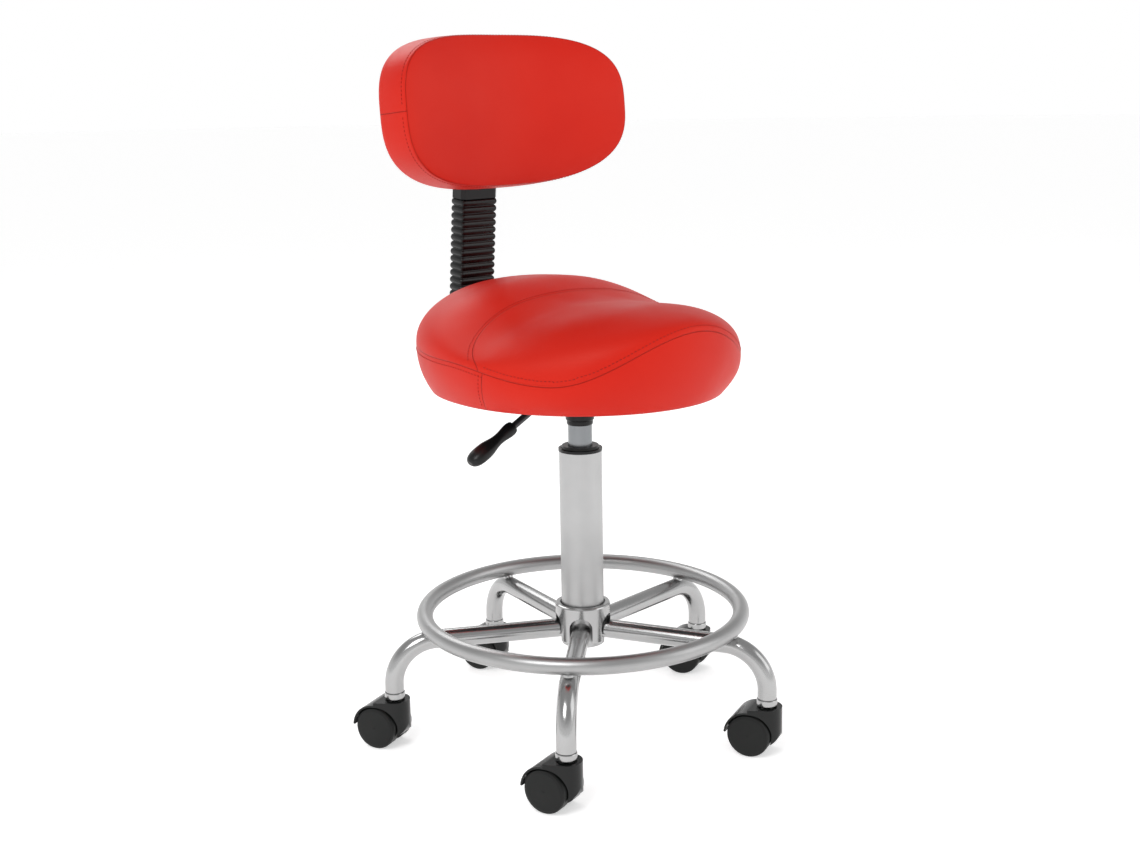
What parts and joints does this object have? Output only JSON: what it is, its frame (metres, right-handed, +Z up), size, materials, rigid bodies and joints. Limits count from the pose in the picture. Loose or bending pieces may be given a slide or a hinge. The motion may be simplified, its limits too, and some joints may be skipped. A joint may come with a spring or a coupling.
{
  "type": "rolling stylist stool",
  "caption": "Rolling salon stool: padded saddle seat on a gas lift with hand lever, height-adjustable padded backrest on a bellows-covered bar, tubular base with foot ring and casters",
  "frame": {"origin": "On the floor, under the axis of the column", "axes": "+Z up; the nose of the seat points to -Y and the backrest stands at +Y; +X is to the left of a person sitting on it"},
  "size_m": [0.489, 0.4937, 0.812],
  "materials": {
    "satin_steel": "satin",
    "chrome": "polished",
    "zinc": "zinc plated",
    "black_plastic": "satin moulded",
    "caster_plastic": "fine texture",
    "white_plastic": "satin",
    "black_metal": "satin black paint",
    "red_vinyl": "soft satin vinyl",
    "plywood": "raw",
    "black_cloth": "non-woven",
    "bellows_rubber": "satin"
  },
  "bodies": {
    "base": {"hub_shell": "satin_steel", "hub_spacer": "zinc", "column_tube": "satin_steel", "column_collar": "black_plastic", "guide_bush": "white_plastic", "column_base": "zinc", "foot_ring": "satin_steel", "ring_welds": "satin_steel", "leg_ferrules": "chrome", "caster_stems": "zinc", "leg_1": "satin_steel", "leg_2": "satin_steel", "leg_3": "satin_steel", "leg_4": "satin_steel", "leg_5": "satin_steel"},
    "piston": {"piston_rod": "chrome", "bearing_upper": "zinc", "rod_clip": "zinc"},
    "seat": {"gas_cylinder": "zinc", "stop_ring": "black_plastic", "lift_socket": "black_metal", "seat_plate": "black_metal", "plate_screws": "zinc", "seat_board": "plywood", "seat_undercover": "black_cloth", "seat_cushion": "red_vinyl", "bar_clamp": "black_metal", "lever_pin": "zinc"},
    "lever": {"lever_rod": "black_metal", "lever_grip": "black_plastic"},
    "valve": {"valve_pin": "chrome"},
    "bar": {"back_bar": "black_metal"},
    "depth_knob": {"depth_knob": "black_plastic"},
    "height_knob": {"height_knob": "black_plastic"},
    "backrest": {"back_carriage": "black_plastic", "bellows": "bellows_rubber", "back_bracket": "black_metal", "back_board": "plywood", "back_cushion": "red_vinyl", "back_panel": "red_vinyl"},
    "caster_1": {"caster_hood_1": "caster_plastic", "caster_axle_1": "zinc"},
    "wheel_1a": {"wheel_1a": "caster_plastic"},
    "wheel_1b": {"wheel_1b": "caster_plastic"},
    "caster_2": {"caster_hood_2": "caster_plastic", "caster_axle_2": "zinc"},
    "wheel_2a": {"wheel_2a": "caster_plastic"},
    "wheel_2b": {"wheel_2b": "caster_plastic"},
    "caster_3": {"caster_hood_3": "caster_plastic", "caster_axle_3": "zinc"},
    "wheel_3a": {"wheel_3a": "caster_plastic"},
    "wheel_3b": {"wheel_3b": "caster_plastic"},
    "caster_4": {"caster_hood_4": "caster_plastic", "caster_axle_4": "zinc"},
    "wheel_4a": {"wheel_4a": "caster_plastic"},
    "wheel_4b": {"wheel_4b": "caster_plastic"},
    "caster_5": {"caster_hood_5": "caster_plastic", "caster_axle_5": "zinc"},
    "wheel_5a": {"wheel_5a": "caster_plastic"},
    "wheel_5b": {"wheel_5b": "caster_plastic"}
  },
  "joints": [
    {"name": "seat_swivel", "type": "hinge", "parent": "base", "child": "piston", "pos_m": [0, 0, 0.113], "axis": [0, 0, 1], "continuous": true},
    {"name": "seat_height", "type": "slide", "parent": "piston", "child": "seat", "axis": [0, 0, 1], "range_m": [-0.01, 0.12]},
    {"name": "lever_pull", "type": "hinge", "parent": "seat", "child": "lever", "pos_m": [-0.026, 0, 0.4085], "axis": [0, 1, 0], "range_deg": [0, 5], "stiffness_Nm_per_rad": 6, "springref_deg": -6.88},
    {"name": "valve_press", "type": "slide", "parent": "seat", "child": "valve", "axis": [0, 0, -1], "range_m": [0, 0.003]},
    {"name": "backrest_depth", "type": "slide", "parent": "seat", "child": "bar", "axis": [0, 1, 0], "range_m": [-0.003, 0.04]},
    {"name": "depth_knob_turn", "type": "hinge", "parent": "seat", "child": "depth_knob", "pos_m": [0, 0.096, 0.393], "axis": [0, 0, 1], "range_deg": [0, 720]},
    {"name": "backrest_height", "type": "slide", "parent": "bar", "child": "backrest", "axis": [0, -0.0958, 0.9954], "range_m": [-0.02, 0.06], "deforming": ["bellows"]},
    {"name": "height_knob_turn", "type": "hinge", "parent": "backrest", "child": "height_knob", "pos_m": [0, 0.21829, 0.67218], "axis": [0, 0.9954, 0.0958], "range_deg": [0, 720]},
    {"name": "caster_1_swivel", "type": "hinge", "parent": "base", "child": "caster_1", "pos_m": [-0.16051, -0.16051, 0.0485], "axis": [0, 0, 1], "continuous": true},
    {"name": "wheel_1a_roll", "type": "hinge", "parent": "caster_1", "child": "wheel_1a", "pos_m": [-0.16572, -0.14538, 0.025], "axis": [-0.9455, -0.3256, 0], "continuous": true},
    {"name": "wheel_1b_roll", "type": "hinge", "parent": "caster_1", "child": "wheel_1b", "pos_m": [-0.16572, -0.14538, 0.025], "axis": [-0.9455, -0.3256, 0], "continuous": true},
    {"name": "caster_2_swivel", "type": "hinge", "parent": "base", "child": "caster_2", "pos_m": [-0.20226, 0.10306, 0.0485], "axis": [0, 0, 1], "continuous": true},
    {"name": "wheel_2a_roll", "type": "hinge", "parent": "caster_2", "child": "wheel_2a", "pos_m": [-0.20902, 0.11756, 0.025], "axis": [-0.9063, -0.4226, 0], "continuous": true},
    {"name": "wheel_2b_roll", "type": "hinge", "parent": "caster_2", "child": "wheel_2b", "pos_m": [-0.20902, 0.11756, 0.025], "axis": [-0.9063, -0.4226, 0], "continuous": true},
    {"name": "caster_3_swivel", "type": "hinge", "parent": "base", "child": "caster_3", "pos_m": [0.03551, 0.22421, 0.0485], "axis": [0, 0, 1], "continuous": true},
    {"name": "wheel_3a_roll", "type": "hinge", "parent": "caster_3", "child": "wheel_3a", "pos_m": [0.02978, 0.23914, 0.025], "axis": [-0.9336, -0.3584, 0], "continuous": true},
    {"name": "wheel_3b_roll", "type": "hinge", "parent": "caster_3", "child": "wheel_3b", "pos_m": [0.02978, 0.23914, 0.025], "axis": [-0.9336, -0.3584, 0], "continuous": true},
    {"name": "caster_4_swivel", "type": "hinge", "parent": "base", "child": "caster_4", "pos_m": [0.22421, 0.03551, 0.0485], "axis": [0, 0, 1], "continuous": true},
    {"name": "wheel_4a_roll", "type": "hinge", "parent": "caster_4", "child": "wheel_4a", "pos_m": [0.21694, 0.04977, 0.025], "axis": [-0.891, -0.454, 0], "continuous": true},
    {"name": "wheel_4b_roll", "type": "hinge", "parent": "caster_4", "child": "wheel_4b", "pos_m": [0.21694, 0.04977, 0.025], "axis": [-0.891, -0.454, 0], "continuous": true},
    {"name": "caster_5_swivel", "type": "hinge", "parent": "base", "child": "caster_5", "pos_m": [0.10306, -0.20226, 0.0485], "axis": [0, 0, 1], "continuous": true},
    {"name": "wheel_5a_roll", "type": "hinge", "parent": "caster_5", "child": "wheel_5a", "pos_m": [0.09629, -0.18776, 0.025], "axis": [-0.9063, -0.4226, 0], "continuous": true},
    {"name": "wheel_5b_roll", "type": "hinge", "parent": "caster_5", "child": "wheel_5b", "pos_m": [0.09629, -0.18776, 0.025], "axis": [-0.9063, -0.4226, 0], "continuous": true}
  ],
  "couplings": [
    {"joint": "valve_press", "follows": "lever_pull", "m_per_rad": 0.03}
  ]
}
